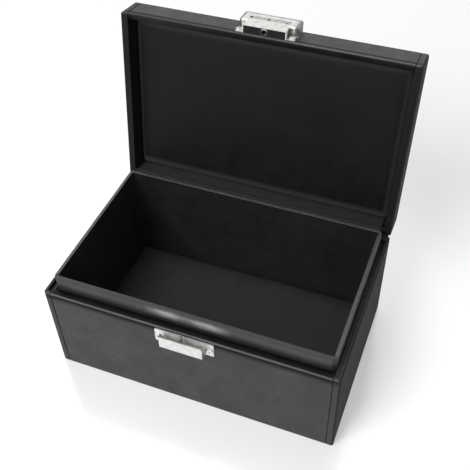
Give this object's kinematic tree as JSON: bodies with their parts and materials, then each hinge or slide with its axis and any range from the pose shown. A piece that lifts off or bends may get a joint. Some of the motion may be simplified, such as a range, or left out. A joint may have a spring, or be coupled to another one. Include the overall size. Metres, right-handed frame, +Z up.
{
  "type": "faraday key box",
  "caption": "Leather covered, signal screened box for car keys, with a padded hinged lid that closes over a raised collar and a sprung front latch.",
  "frame": {"origin": "centre of the underside of the base, on the surface the box stands on", "axes": "+X to the box's right as seen from the latch side, +Y towards the hinge at the back, +Z up"},
  "size_m": [0.2, 0.1731, 0.2051],
  "materials": {
    "outer_leather": "fine grained black artificial leather, satin",
    "lining_leather": "smooth black artificial leather, soft sheen",
    "floor_leather": "smooth black artificial leather",
    "fibreboard": "raw fibreboard",
    "card": "grey card",
    "screening_cloth": "metallised woven cloth",
    "felt": "black felt",
    "foam": "soft foam",
    "nickel": "bright nickel plate",
    "black_plastic": "moulded black",
    "steel_wire": "drawn steel"
  },
  "bodies": {
    "base": {"bottom_cover": "felt", "base_leather": "outer_leather", "base_front_leather": "outer_leather", "base_bottom_board": "fibreboard", "base_front_board": "fibreboard", "base_back_board": "fibreboard", "base_left_board": "fibreboard", "base_right_board": "fibreboard", "collar_front_board": "card", "collar_back_board": "card", "collar_left_board": "card", "collar_right_board": "card", "base_shield": "screening_cloth", "collar_lining": "lining_leather", "floor_pad": "floor_leather", "catch_plate": "nickel", "catch_screws": "nickel", "lever_pin": "steel_wire", "lever_spring": "steel_wire", "hinge_leather": "outer_leather", "hinge_lining": "lining_leather"},
    "lid": {"lid_leather": "outer_leather", "lid_front_leather": "outer_leather", "lid_top_board": "fibreboard", "lid_front_board": "fibreboard", "lid_back_board": "fibreboard", "lid_left_board": "fibreboard", "lid_right_board": "fibreboard", "lid_shield": "screening_cloth", "lid_pad_foam": "foam", "lid_pad_cover": "lining_leather", "keeper_plate": "nickel", "keeper_cover": "nickel", "keeper_insert": "black_plastic", "keeper_eyelet": "nickel", "keeper_screws": "nickel"},
    "latch_lever": {"latch_lever": "nickel"}
  },
  "joints": [
    {"name": "lid_hinge", "type": "hinge", "parent": "base", "child": "lid", "pos_m": [0, 0.0625, 0.0755], "axis": [1, 0, 0], "range_deg": [0, 99], "deforming": ["hinge_leather", "hinge_lining"]},
    {"name": "lever_pivot", "type": "hinge", "parent": "base", "child": "latch_lever", "pos_m": [0, -0.0649, 0.0664], "axis": [-1, 0, 0], "range_deg": [0, 8], "stiffness_Nm_per_rad": 0.05, "springref_deg": -11.46, "deforming": ["lever_spring"]}
  ]
}
